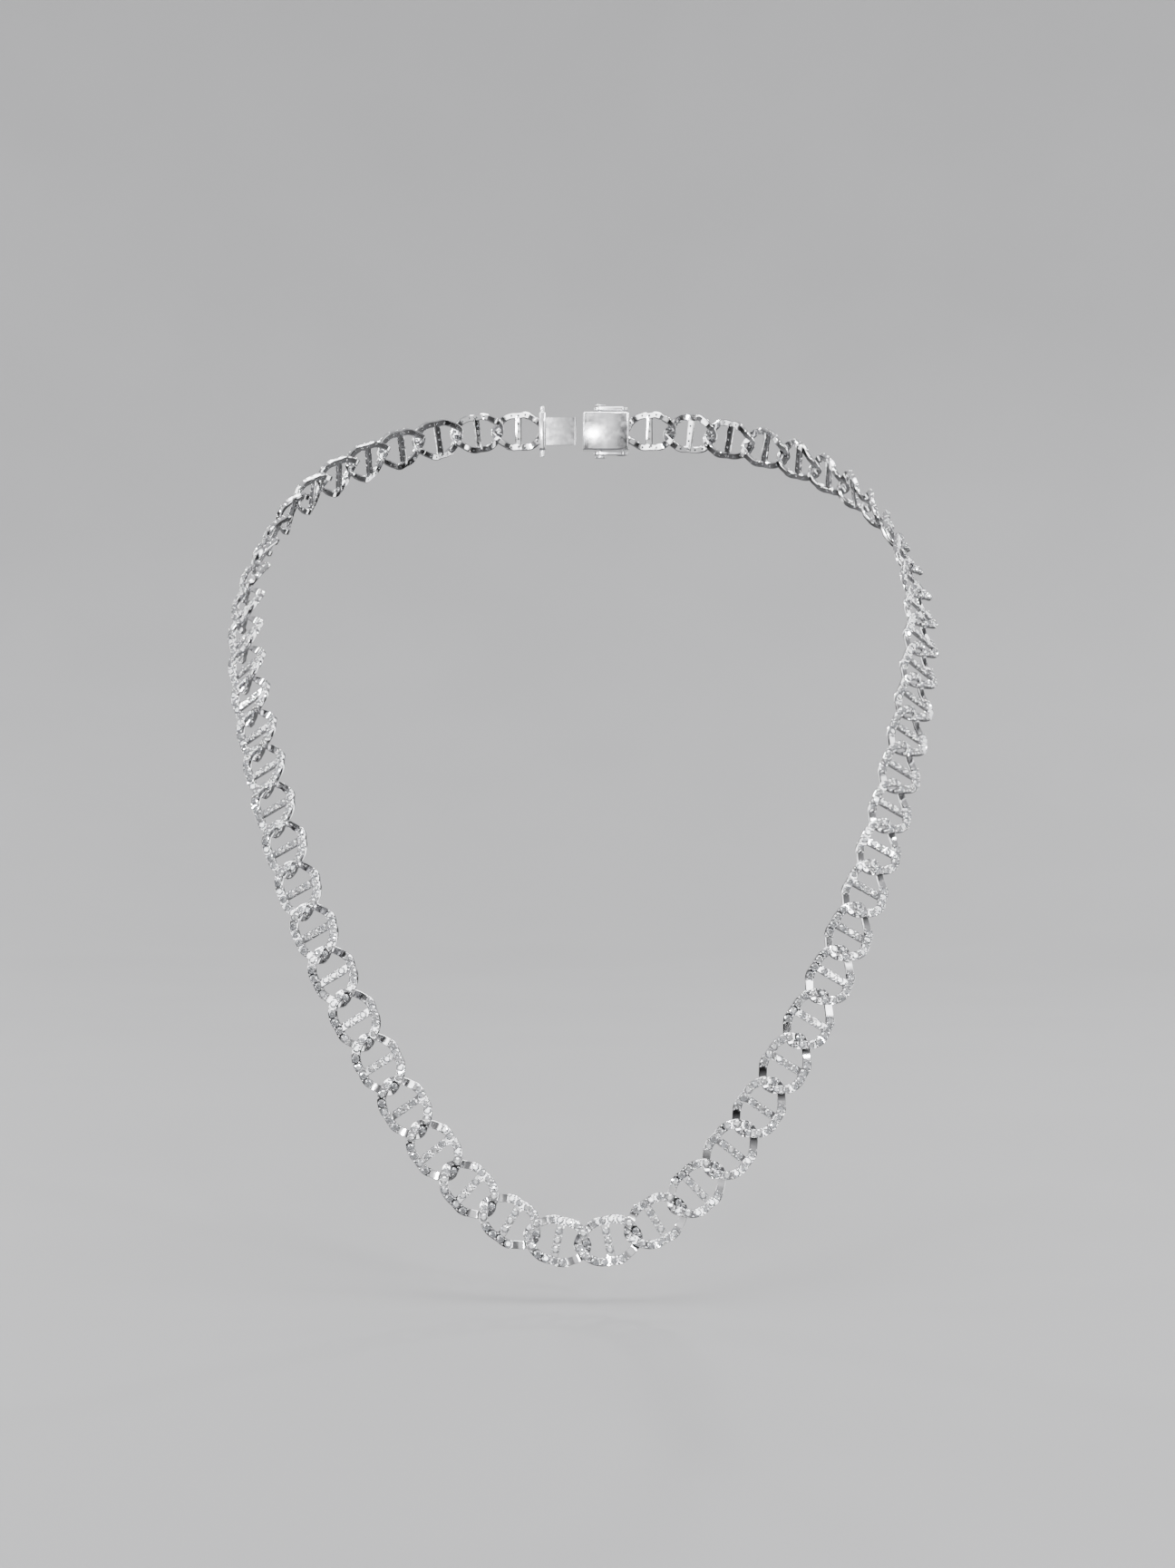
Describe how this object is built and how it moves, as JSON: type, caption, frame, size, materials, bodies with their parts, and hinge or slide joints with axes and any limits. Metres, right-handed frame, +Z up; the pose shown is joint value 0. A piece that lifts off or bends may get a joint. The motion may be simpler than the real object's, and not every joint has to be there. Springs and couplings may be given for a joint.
{
  "type": "chain necklace",
  "caption": "Polished white-metal necklace of barred anchor links set with small round stones, hooked link into link, with a box clasp and safety catches, in its worn shape.",
  "frame": {"origin": "the nape: middle of the closed side of the loop, in the plane of the clasp's flat inner face, which rests on the back of the neck", "axes": "+Z up as worn, -Y towards the wearer's front, +X to the side of the clasp box"},
  "size_m": [0.1168, 0.1098, 0.1397],
  "materials": {
    "link_metal": "mirror-polished white metal, rhodium plated",
    "clasp_metal": "polished white metal, rhodium plated",
    "spring_metal": "polished spring wire",
    "gem": "clear round brilliant-cut stones"
  },
  "bodies": {
    "clasp_box": {"clasp_box": "clasp_metal"},
    "safety_catch_upper": {"safety_catch_upper": "spring_metal"},
    "safety_catch_lower": {"safety_catch_lower": "spring_metal"},
    "link_01": {"link_01": "link_metal"},
    "link_02": {"link_02": "link_metal"},
    "link_03": {"link_03": "link_metal"},
    "link_04": {"link_04": "link_metal"},
    "link_05": {"link_05": "link_metal"},
    "link_06": {"link_06": "link_metal"},
    "link_07": {"link_07": "link_metal"},
    "link_08": {"link_08": "link_metal"},
    "link_09": {"link_09": "link_metal"},
    "link_10": {"link_10": "link_metal"},
    "link_11": {"link_11": "link_metal"},
    "link_12": {"link_12": "link_metal"},
    "link_13": {"link_13": "link_metal"},
    "link_14": {"link_14": "link_metal"},
    "link_15": {"link_15": "link_metal"},
    "link_16": {"link_16": "link_metal"},
    "link_17": {"link_17": "link_metal"},
    "link_18": {"link_18": "link_metal"},
    "link_19": {"link_19": "link_metal"},
    "link_20": {"link_20": "link_metal"},
    "link_21": {"link_21": "link_metal"},
    "link_22": {"link_22": "link_metal"},
    "link_23": {"link_23": "link_metal"},
    "link_24": {"link_24": "link_metal"},
    "link_25": {"link_25": "link_metal"},
    "link_26": {"link_26": "link_metal"},
    "link_27": {"link_27": "link_metal"},
    "link_28": {"link_28": "link_metal"},
    "link_29": {"link_29": "link_metal"},
    "link_30": {"link_30": "link_metal"},
    "link_31": {"link_31": "link_metal"},
    "link_32": {"link_32": "link_metal"},
    "link_33": {"link_33": "link_metal"},
    "link_34": {"link_34": "link_metal"},
    "link_35": {"link_35": "link_metal"},
    "link_36": {"link_36": "link_metal"},
    "link_37": {"link_37": "link_metal"},
    "link_38": {"link_38": "link_metal"},
    "link_39": {"link_39": "link_metal"},
    "link_40": {"link_40": "link_metal"},
    "link_41": {"link_41": "link_metal"},
    "link_42": {"link_42": "link_metal"},
    "link_43": {"link_43": "link_metal"},
    "link_44": {"link_44": "link_metal"},
    "link_45": {"link_45": "link_metal"},
    "link_46": {"link_46": "link_metal"},
    "link_47": {"link_47": "link_metal"},
    "link_48": {"link_48": "link_metal"},
    "link_49": {"link_49": "link_metal"},
    "link_50": {"link_50": "link_metal"},
    "link_51": {"link_51": "link_metal"},
    "link_52": {"link_52": "link_metal"},
    "link_53": {"link_53": "link_metal"},
    "link_54": {"link_54": "link_metal"},
    "link_55": {"link_55": "link_metal"},
    "link_56": {"link_56": "link_metal"},
    "clasp_tongue": {"clasp_tongue": "clasp_metal"}
  },
  "joints": [
    {"name": "interlock_01", "type": "hinge", "parent": "clasp_box", "child": "link_01", "pos_m": [0.0158, 0.0015, 0], "axis": [0.1126, -0.091, 0.9895], "range_deg": [0, 20], "stiffness_Nm_per_rad": 0.31, "springref_deg": -0.26},
    {"name": "interlock_02", "type": "hinge", "parent": "link_01", "child": "link_02", "pos_m": [0.02305, -0.00052, -0.00101], "axis": [0.1315, -0.2645, 0.9554], "range_deg": [0, 20], "stiffness_Nm_per_rad": 0.34, "springref_deg": -0.39},
    {"name": "interlock_03", "type": "hinge", "parent": "link_02", "child": "link_03", "pos_m": [0.02979, -0.00354, -0.00278], "axis": [0.1012, -0.4083, 0.9072], "range_deg": [0, 20], "stiffness_Nm_per_rad": 0.36, "springref_deg": -0.47},
    {"name": "interlock_04", "type": "hinge", "parent": "link_03", "child": "link_04", "pos_m": [0.03587, -0.00739, -0.00519], "axis": [0.0335, -0.5163, 0.8558], "range_deg": [0, 20], "stiffness_Nm_per_rad": 0.37, "springref_deg": -0.51},
    {"name": "interlock_05", "type": "hinge", "parent": "link_04", "child": "link_05", "pos_m": [0.04113, -0.01199, -0.00817], "axis": [-0.0532, -0.5869, 0.8079], "range_deg": [0, 20], "stiffness_Nm_per_rad": 0.37, "springref_deg": -0.54},
    {"name": "interlock_06", "type": "hinge", "parent": "link_05", "child": "link_06", "pos_m": [0.04568, -0.01705, -0.01154], "axis": [-0.1553, -0.6333, 0.7582], "range_deg": [0, 20], "stiffness_Nm_per_rad": 0.36, "springref_deg": -0.57},
    {"name": "interlock_07", "type": "hinge", "parent": "link_06", "child": "link_07", "pos_m": [0.04929, -0.02252, -0.01537], "axis": [-0.2825, -0.6362, 0.7179], "range_deg": [0, 20], "stiffness_Nm_per_rad": 0.35, "springref_deg": -0.54},
    {"name": "interlock_08", "type": "hinge", "parent": "link_07", "child": "link_08", "pos_m": [0.05189, -0.02834, -0.01951], "axis": [-0.4094, -0.6137, 0.6751], "range_deg": [0, 20], "stiffness_Nm_per_rad": 0.33, "springref_deg": -0.51},
    {"name": "interlock_09", "type": "hinge", "parent": "link_08", "child": "link_09", "pos_m": [0.05372, -0.03432, -0.02383], "axis": [-0.5213, -0.5797, 0.6263], "range_deg": [0, 20], "stiffness_Nm_per_rad": 0.31, "springref_deg": -0.49},
    {"name": "interlock_10", "type": "hinge", "parent": "link_09", "child": "link_10", "pos_m": [0.05491, -0.04029, -0.02837], "axis": [-0.6097, -0.5389, 0.5813], "range_deg": [0, 20], "stiffness_Nm_per_rad": 0.28, "springref_deg": -0.52},
    {"name": "interlock_11", "type": "hinge", "parent": "link_10", "child": "link_11", "pos_m": [0.05548, -0.04614, -0.03319], "axis": [-0.6727, -0.482, 0.5615], "range_deg": [0, 20], "stiffness_Nm_per_rad": 0.26, "springref_deg": -0.53},
    {"name": "interlock_12", "type": "hinge", "parent": "link_11", "child": "link_12", "pos_m": [0.05536, -0.05184, -0.03822], "axis": [-0.7146, -0.419, 0.5602], "range_deg": [0, 20], "stiffness_Nm_per_rad": 0.24, "springref_deg": -0.55},
    {"name": "interlock_13", "type": "hinge", "parent": "link_12", "child": "link_13", "pos_m": [0.05462, -0.05741, -0.04333], "axis": [-0.7469, -0.3713, 0.5516], "range_deg": [0, 20], "stiffness_Nm_per_rad": 0.22, "springref_deg": -0.61},
    {"name": "interlock_14", "type": "hinge", "parent": "link_13", "child": "link_14", "pos_m": [0.05345, -0.06281, -0.04856], "axis": [-0.7748, -0.3348, 0.5362], "range_deg": [0, 20], "stiffness_Nm_per_rad": 0.2, "springref_deg": -0.71},
    {"name": "interlock_15", "type": "hinge", "parent": "link_14", "child": "link_15", "pos_m": [0.05197, -0.06799, -0.05392], "axis": [-0.8009, -0.3077, 0.5136], "range_deg": [0, 20], "stiffness_Nm_per_rad": 0.18, "springref_deg": -0.87},
    {"name": "interlock_16", "type": "hinge", "parent": "link_15", "child": "link_16", "pos_m": [0.05028, -0.07288, -0.05949], "axis": [-0.8257, -0.2884, 0.4849], "range_deg": [0, 20], "stiffness_Nm_per_rad": 0.16, "springref_deg": -1.08},
    {"name": "interlock_17", "type": "hinge", "parent": "link_16", "child": "link_17", "pos_m": [0.04844, -0.0774, -0.06531], "axis": [-0.8428, -0.2642, 0.469], "range_deg": [0, 20], "stiffness_Nm_per_rad": 0.15, "springref_deg": -1.24},
    {"name": "interlock_18", "type": "hinge", "parent": "link_17", "child": "link_18", "pos_m": [0.04638, -0.08153, -0.07135], "axis": [-0.8526, -0.2383, 0.4651], "range_deg": [0, 20], "stiffness_Nm_per_rad": 0.14, "springref_deg": -1.41},
    {"name": "interlock_19", "type": "hinge", "parent": "link_18", "child": "link_19", "pos_m": [0.04407, -0.08532, -0.07752], "axis": [-0.8568, -0.2108, 0.4706], "range_deg": [0, 20], "stiffness_Nm_per_rad": 0.15, "springref_deg": -1.37},
    {"name": "interlock_20", "type": "hinge", "parent": "link_19", "child": "link_20", "pos_m": [0.04149, -0.08879, -0.08377], "axis": [-0.8559, -0.1794, 0.485], "range_deg": [0, 20], "stiffness_Nm_per_rad": 0.15, "springref_deg": -1.39},
    {"name": "interlock_21", "type": "hinge", "parent": "link_20", "child": "link_21", "pos_m": [0.03859, -0.09194, -0.09005], "axis": [-0.8514, -0.1421, 0.5049], "range_deg": [0, 20], "stiffness_Nm_per_rad": 0.15, "springref_deg": -1.39},
    {"name": "interlock_22", "type": "hinge", "parent": "link_21", "child": "link_22", "pos_m": [0.03534, -0.09473, -0.09633], "axis": [-0.8518, -0.1037, 0.5135], "range_deg": [0, 20], "stiffness_Nm_per_rad": 0.15, "springref_deg": -1.38},
    {"name": "interlock_23", "type": "hinge", "parent": "link_22", "child": "link_23", "pos_m": [0.0318, -0.09701, -0.10266], "axis": [-0.8471, -0.0579, 0.5283], "range_deg": [0, 20], "stiffness_Nm_per_rad": 0.15, "springref_deg": -1.33},
    {"name": "interlock_24", "type": "hinge", "parent": "link_23", "child": "link_24", "pos_m": [0.028, -0.09893, -0.10896], "axis": [-0.8312, -0.005, 0.556], "range_deg": [0, 20], "stiffness_Nm_per_rad": 0.14, "springref_deg": -1.34},
    {"name": "interlock_25", "type": "hinge", "parent": "link_24", "child": "link_25", "pos_m": [0.02389, -0.10059, -0.11512], "axis": [-0.7909, 0.0569, 0.6093], "range_deg": [0, 20], "stiffness_Nm_per_rad": 0.12, "springref_deg": -1.4},
    {"name": "interlock_26", "type": "hinge", "parent": "link_25", "child": "link_26", "pos_m": [0.01927, -0.10211, -0.12097], "axis": [-0.6909, 0.1331, 0.7106], "range_deg": [0, 20], "stiffness_Nm_per_rad": 0.093, "springref_deg": -1.4},
    {"name": "interlock_27", "type": "hinge", "parent": "link_26", "child": "link_27", "pos_m": [0.01379, -0.10334, -0.12607], "axis": [-0.531, 0.199, 0.8237], "range_deg": [0, 20], "stiffness_Nm_per_rad": 0.075, "springref_deg": -1.09},
    {"name": "interlock_28", "type": "hinge", "parent": "link_27", "child": "link_28", "pos_m": [0.00737, -0.10407, -0.13004], "axis": [-0.2087, 0.2495, 0.9456], "range_deg": [0, 20], "stiffness_Nm_per_rad": 0.092, "springref_deg": 0.03},
    {"name": "interlock_29", "type": "hinge", "parent": "link_28", "child": "link_29", "pos_m": [0, -0.1043, -0.1316], "axis": [0.2087, 0.2495, 0.9456], "range_deg": [0, 20], "stiffness_Nm_per_rad": 0.15, "springref_deg": 0.55},
    {"name": "interlock_30", "type": "hinge", "parent": "link_29", "child": "link_30", "pos_m": [-0.00737, -0.10407, -0.13004], "axis": [0.531, 0.199, 0.8237], "range_deg": [0, 20], "stiffness_Nm_per_rad": 0.19, "springref_deg": 0.71},
    {"name": "interlock_31", "type": "hinge", "parent": "link_30", "child": "link_31", "pos_m": [-0.01379, -0.10334, -0.12607], "axis": [0.6909, 0.1331, 0.7106], "range_deg": [0, 20], "stiffness_Nm_per_rad": 0.2, "springref_deg": 0.77},
    {"name": "interlock_32", "type": "hinge", "parent": "link_31", "child": "link_32", "pos_m": [-0.01927, -0.10211, -0.12097], "axis": [0.7909, 0.0569, 0.6093], "range_deg": [0, 20], "stiffness_Nm_per_rad": 0.2, "springref_deg": 0.81},
    {"name": "interlock_33", "type": "hinge", "parent": "link_32", "child": "link_33", "pos_m": [-0.02389, -0.10059, -0.11512], "axis": [0.8312, -0.005, 0.556], "range_deg": [0, 20], "stiffness_Nm_per_rad": 0.19, "springref_deg": 0.85},
    {"name": "interlock_34", "type": "hinge", "parent": "link_33", "child": "link_34", "pos_m": [-0.028, -0.09893, -0.10896], "axis": [0.8471, -0.0579, 0.5283], "range_deg": [0, 20], "stiffness_Nm_per_rad": 0.18, "springref_deg": 0.87},
    {"name": "interlock_35", "type": "hinge", "parent": "link_34", "child": "link_35", "pos_m": [-0.0318, -0.09701, -0.10266], "axis": [0.8518, -0.1037, 0.5135], "range_deg": [0, 20], "stiffness_Nm_per_rad": 0.17, "springref_deg": 0.89},
    {"name": "interlock_36", "type": "hinge", "parent": "link_35", "child": "link_36", "pos_m": [-0.03534, -0.09473, -0.09633], "axis": [0.8514, -0.1421, 0.5049], "range_deg": [0, 20], "stiffness_Nm_per_rad": 0.16, "springref_deg": 0.91},
    {"name": "interlock_37", "type": "hinge", "parent": "link_36", "child": "link_37", "pos_m": [-0.03859, -0.09194, -0.09005], "axis": [0.8559, -0.1794, 0.485], "range_deg": [0, 20], "stiffness_Nm_per_rad": 0.15, "springref_deg": 0.92},
    {"name": "interlock_38", "type": "hinge", "parent": "link_37", "child": "link_38", "pos_m": [-0.04149, -0.08879, -0.08377], "axis": [0.8568, -0.2108, 0.4706], "range_deg": [0, 20], "stiffness_Nm_per_rad": 0.13, "springref_deg": 1.01},
    {"name": "interlock_39", "type": "hinge", "parent": "link_38", "child": "link_39", "pos_m": [-0.04407, -0.08532, -0.07752], "axis": [0.8526, -0.2383, 0.4651], "range_deg": [0, 20], "stiffness_Nm_per_rad": 0.12, "springref_deg": 1.03},
    {"name": "interlock_40", "type": "hinge", "parent": "link_39", "child": "link_40", "pos_m": [-0.04638, -0.08153, -0.07135], "axis": [0.8428, -0.2642, 0.469], "range_deg": [0, 20], "stiffness_Nm_per_rad": 0.11, "springref_deg": 1.05},
    {"name": "interlock_41", "type": "hinge", "parent": "link_40", "child": "link_41", "pos_m": [-0.04844, -0.0774, -0.06531], "axis": [0.8257, -0.2884, 0.4849], "range_deg": [0, 20], "stiffness_Nm_per_rad": 0.097, "springref_deg": 1.09},
    {"name": "interlock_42", "type": "hinge", "parent": "link_41", "child": "link_42", "pos_m": [-0.05028, -0.07288, -0.05949], "axis": [0.8009, -0.3077, 0.5136], "range_deg": [0, 20], "stiffness_Nm_per_rad": 0.086, "springref_deg": 1.11},
    {"name": "interlock_43", "type": "hinge", "parent": "link_42", "child": "link_43", "pos_m": [-0.05197, -0.06799, -0.05392], "axis": [0.7748, -0.3348, 0.5362], "range_deg": [0, 20], "stiffness_Nm_per_rad": 0.077, "springref_deg": 1.11},
    {"name": "interlock_44", "type": "hinge", "parent": "link_43", "child": "link_44", "pos_m": [-0.05345, -0.06281, -0.04856], "axis": [0.7469, -0.3713, 0.5516], "range_deg": [0, 20], "stiffness_Nm_per_rad": 0.068, "springref_deg": 1.12},
    {"name": "interlock_45", "type": "hinge", "parent": "link_44", "child": "link_45", "pos_m": [-0.05462, -0.05741, -0.04333], "axis": [0.7146, -0.419, 0.5602], "range_deg": [0, 20], "stiffness_Nm_per_rad": 0.061, "springref_deg": 1.12},
    {"name": "interlock_46", "type": "hinge", "parent": "link_45", "child": "link_46", "pos_m": [-0.05536, -0.05184, -0.03822], "axis": [0.6727, -0.482, 0.5615], "range_deg": [0, 20], "stiffness_Nm_per_rad": 0.054, "springref_deg": 1.12},
    {"name": "interlock_47", "type": "hinge", "parent": "link_46", "child": "link_47", "pos_m": [-0.05548, -0.04614, -0.03319], "axis": [0.6097, -0.5389, 0.5813], "range_deg": [0, 20], "stiffness_Nm_per_rad": 0.047, "springref_deg": 1.11},
    {"name": "interlock_48", "type": "hinge", "parent": "link_47", "child": "link_48", "pos_m": [-0.05491, -0.04029, -0.02837], "axis": [0.5213, -0.5797, 0.6263], "range_deg": [0, 20], "stiffness_Nm_per_rad": 0.04, "springref_deg": 1.07},
    {"name": "interlock_49", "type": "hinge", "parent": "link_48", "child": "link_49", "pos_m": [-0.05372, -0.03432, -0.02383], "axis": [0.4094, -0.6137, 0.6751], "range_deg": [0, 20], "stiffness_Nm_per_rad": 0.034, "springref_deg": 1.02},
    {"name": "interlock_50", "type": "hinge", "parent": "link_49", "child": "link_50", "pos_m": [-0.05189, -0.02834, -0.01951], "axis": [0.2825, -0.6362, 0.7179], "range_deg": [0, 20], "stiffness_Nm_per_rad": 0.026, "springref_deg": 1.05},
    {"name": "interlock_51", "type": "hinge", "parent": "link_50", "child": "link_51", "pos_m": [-0.04929, -0.02252, -0.01537], "axis": [0.1553, -0.6333, 0.7582], "range_deg": [0, 20], "stiffness_Nm_per_rad": 0.02, "springref_deg": 1.03},
    {"name": "interlock_52", "type": "hinge", "parent": "link_51", "child": "link_52", "pos_m": [-0.04568, -0.01705, -0.01154], "axis": [0.0532, -0.5869, 0.8079], "range_deg": [0, 20], "stiffness_Nm_per_rad": 0.02, "springref_deg": 0.73},
    {"name": "interlock_53", "type": "hinge", "parent": "link_52", "child": "link_53", "pos_m": [-0.04113, -0.01199, -0.00817], "axis": [-0.0335, -0.5163, 0.8558], "range_deg": [0, 20], "stiffness_Nm_per_rad": 0.02, "springref_deg": 0.48},
    {"name": "interlock_54", "type": "hinge", "parent": "link_53", "child": "link_54", "pos_m": [-0.03587, -0.00739, -0.00519], "axis": [-0.1012, -0.4083, 0.9072], "range_deg": [0, 20], "stiffness_Nm_per_rad": 0.02, "springref_deg": 0.27},
    {"name": "interlock_55", "type": "hinge", "parent": "link_54", "child": "link_55", "pos_m": [-0.02979, -0.00354, -0.00278], "axis": [-0.1315, -0.2645, 0.9554], "range_deg": [0, 20], "stiffness_Nm_per_rad": 0.02, "springref_deg": 0.12},
    {"name": "interlock_56", "type": "hinge", "parent": "link_55", "child": "link_56", "pos_m": [-0.02305, -0.00052, -0.00101], "axis": [-0.1126, -0.091, 0.9895], "range_deg": [0, 20], "stiffness_Nm_per_rad": 0.02, "springref_deg": 0.02},
    {"name": "interlock_57", "type": "hinge", "parent": "link_56", "child": "clasp_tongue", "pos_m": [-0.0158, 0.0015, 0], "axis": [0, 0, 1], "range_deg": [0, 20], "stiffness_Nm_per_rad": 0.02},
    {"name": "safety_catch_upper_swing", "type": "hinge", "parent": "clasp_box", "child": "safety_catch_upper", "pos_m": [0.003, 0.0015, 0.0041], "axis": [0, 0, 1], "range_deg": [0, 180]},
    {"name": "safety_catch_lower_swing", "type": "hinge", "parent": "clasp_box", "child": "safety_catch_lower", "pos_m": [0.003, 0.0015, -0.0041], "axis": [0, 0, 1], "range_deg": [0, 180]}
  ]
}
